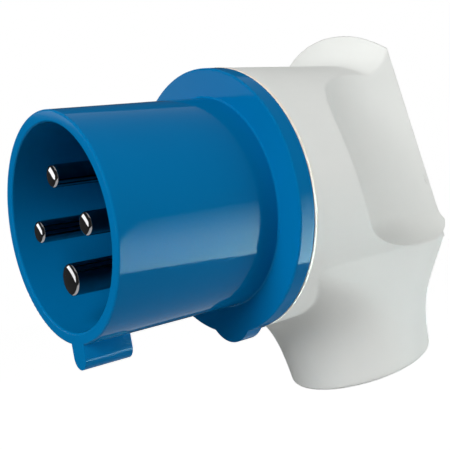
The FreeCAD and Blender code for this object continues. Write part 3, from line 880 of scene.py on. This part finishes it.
def hung(towards: Triple, distance: float, roll: float = 0.0) -> Matrix:
    """Work out where a lamp or a card hangs so that it looks at the plug.

    Args:
        towards: The way from the plug to it.
        distance: Its distance in metres.
        roll: Its turn about its own line of sight in degrees.

    Returns:
        Its place in the world.
    """
    way = Vector(towards).normalized()
    turn = way.to_track_quat("Z", "Y").to_matrix().to_4x4()
    turn = turn @ Matrix.Rotation(math.radians(roll), 4, "Z")
    return Matrix.Translation(Vector(PLUG_MIDDLE) + way * distance) @ turn


@dataclass(frozen=True)
class SoftLamp:
    """A square studio lamp that looks at the plug and leaves no mirror image in its gloss."""

    name: str
    towards: Triple
    distance: float
    size: float
    level: float

    def build(self) -> None:
        """Hang the lamp."""
        data = bpy.data.lights.new(self.name, "AREA")
        data.shape = "SQUARE"
        data.size = self.size
        data.energy = self.level
        lamp = bpy.data.objects.new(self.name, data)
        bpy.context.scene.collection.objects.link(lamp)
        lamp.matrix_world = hung(self.towards, self.distance)
        lamp.visible_glossy = False


@dataclass(frozen=True)
class StudioCard:
    """A card seen only in the plug's gloss: a glow that fades towards its top, or a flag."""

    name: str
    towards: Triple
    distance: float
    width: float
    height: float
    level: float
    fade: float = 0.01
    roll: float = 0.0
    tint: Triple = WHITE

    def build(self) -> None:
        """Hang the card."""
        wide, tall = self.width / 2, self.height / 2
        card = sheet(self.name, wide, tall)
        card.matrix_world = hung(self.towards, self.distance, self.roll)
        shader = Shader(self.name + "_glow")
        shader.give(Base_Color=(*NO_COLOUR, 1.0), Specular_IOR_Level=0.0,
                    Emission_Color=(*self.tint, 1.0))
        split = shader.add("ShaderNodeSeparateXYZ")
        shader.join(shader.where, "Object", split, "Vector")
        fall = shader.add("ShaderNodeMapRange", From_Min=tall, From_Max=tall - self.fade,
                          To_Min=0.0, To_Max=self.level)
        shader.join(split, "Y", fall, "Value")
        shader.join(fall, "Result", shader.surface, "Emission Strength")
        card.data.materials.append(shader.material)
        card.visible_camera = False
        card.visible_diffuse = False
        card.visible_shadow = False


@dataclass
class Studio:
    """The pale floor, the even surroundings, the lamps, the glowing cards and the flags."""

    floor_level: float = -0.45
    floor_half: float = 4.0
    floor_shade: float = 0.86
    floor_roughness: float = 0.9
    floor_lift: float = 0.86
    around: float = 0.155
    lamps: tuple[SoftLamp, ...] = (
        SoftLamp("key", (0.80, 0.35, 0.50), distance=0.70, size=0.40, level=5.0),
        SoftLamp("low_side", (-0.75, 0.62, -0.20), distance=0.60, size=0.40, level=1.9),
    )
    cards: tuple[StudioCard, ...] = (
        StudioCard("low_card", (-0.58, 0.66, -0.40), distance=0.42, width=0.26, height=0.34,
                   level=68.0, fade=0.20, tint=(0.60, 0.97, 1.00)),
        StudioCard("tip_card", (0.776, -0.605, 0.171), distance=0.60, width=0.56,
                   height=0.20, level=4.0, roll=-28.6),
        StudioCard("far_flag", (0.70, -0.70, 0.05), distance=0.75, width=1.90,
                   height=2.60, level=0.06),
        StudioCard("back_flag", (-0.64, -0.70, 0.00), distance=0.75, width=1.10,
                   height=1.40, level=0.06),
        StudioCard("near_flag", (0.80, 0.60, 0.00), distance=0.75, width=1.30,
                   height=1.40, level=0.06),
    )

    def lay_floor(self) -> None:
        """Lay the floor: it keeps the plug's shadow and looks white to the camera."""
        floor = sheet("floor", self.floor_half, self.floor_half, self.floor_level)
        shader = Shader("floor_pale")
        shader.give(Base_Color=(*scaled(WHITE, self.floor_shade), 1.0),
                    Roughness=self.floor_roughness, Specular_IOR_Level=0.0,
                    Emission_Color=(*WHITE, 1.0))
        lift = shader.add("ShaderNodeMath")
        lift.operation = "MULTIPLY"
        lift.inputs[1].default_value = self.floor_lift
        shader.tree.links.new(self.seen(shader.tree), lift.inputs[0])
        shader.join(lift, 0, shader.surface, "Emission Strength")
        floor.data.materials.append(shader.material)

    def seen(self, tree: bpy.types.NodeTree) -> bpy.types.NodeSocket:
        """Tell the rays that show a background: from the camera, in gloss or through glass.

        Args:
            tree: The node tree that asks.

        Returns:
            A socket that is 1 for such rays.
        """
        path = tree.nodes.new("ShaderNodeLightPath")
        result = path.outputs["Is Camera Ray"]
        for kind in ("Is Glossy Ray", "Is Transmission Ray"):
            node = tree.nodes.new("ShaderNodeMath")
            node.operation = "MAXIMUM"
            tree.links.new(result, node.inputs[0])
            tree.links.new(path.outputs[kind], node.inputs[1])
            result = node.outputs[0]
        return result

    def surround(self) -> None:
        """Light the plug evenly from all round, and show a white background."""
        world = bpy.data.worlds.new("studio")
        bpy.context.scene.world = world
        world.use_nodes = True
        tree = world.node_tree
        tree.nodes.clear()
        output = tree.nodes.new("ShaderNodeOutputWorld")
        glow = tree.nodes.new("ShaderNodeBackground")
        glow.inputs["Color"].default_value = (*WHITE, 1.0)
        level = tree.nodes.new("ShaderNodeMapRange")
        level.inputs["To Min"].default_value = self.around
        level.inputs["To Max"].default_value = 1.0
        tree.links.new(self.seen(tree), level.inputs["Value"])
        tree.links.new(level.outputs["Result"], glow.inputs["Strength"])
        tree.links.new(glow.outputs["Background"], output.inputs["Surface"])

    def build(self) -> None:
        """Set the whole studio up."""
        self.lay_floor()
        self.surround()
        for light in (*self.lamps, *self.cards):
            light.build()


@dataclass(frozen=True)
class PictureCamera:
    """The camera at the picture's own viewing angle, with sizes in millimetres for its lens."""

    place: Triple = (0.075708, 0.159481, -0.001226)
    right: Triple = (-0.78627509, 0.5936853, -0.17119943)
    up: Triple = (-0.15064937, 0.08451303, 0.98496818)
    back: Triple = (0.59922971, 0.80024703, 0.02298782)
    lens: float = 65.878
    sensor: float = 36.0
    nearest: float = 0.005
    farthest: float = 50.0

    def build(self) -> None:
        """Stand the camera and make it the scene's own."""
        data = bpy.data.cameras.new("picture_camera")
        data.sensor_width = self.sensor
        data.lens = self.lens
        data.clip_start = self.nearest
        data.clip_end = self.farthest
        camera = bpy.data.objects.new("picture_camera", data)
        bpy.context.scene.collection.objects.link(camera)
        turn = Matrix((self.right, self.up, self.back)).transposed().to_4x4()
        camera.matrix_world = Matrix.Translation(self.place) @ turn
        bpy.context.scene.camera = camera


def main() -> None:
    """Build every sub-assembly in order, then the studio and the camera."""
    logging.basicConfig(level=logging.INFO, format="%(name)s: %(message)s")
    bpy.context.scene.view_settings.view_transform = "Standard"
    finishes = Finishes()

    shroud = PinShroud(finishes)
    front = shroud.build()
    shroud.dress(front)

    contacts = ContactSet(finishes)
    phase, earth = contacts.build()
    contacts.dress(phase, earth)

    housing = AngledHousing(finishes)
    body = housing.build()
    housing.dress(body)

    CableOutlet(finishes).dress()
    for piece in (front, phase, earth, body):
        LOG.info("%s: %d faces", piece.name, len(piece.data.polygons))
    LOG.info("cable outlet dressed")

    Studio().build()
    PictureCamera().build()


if __name__ == "__main__":
    main()
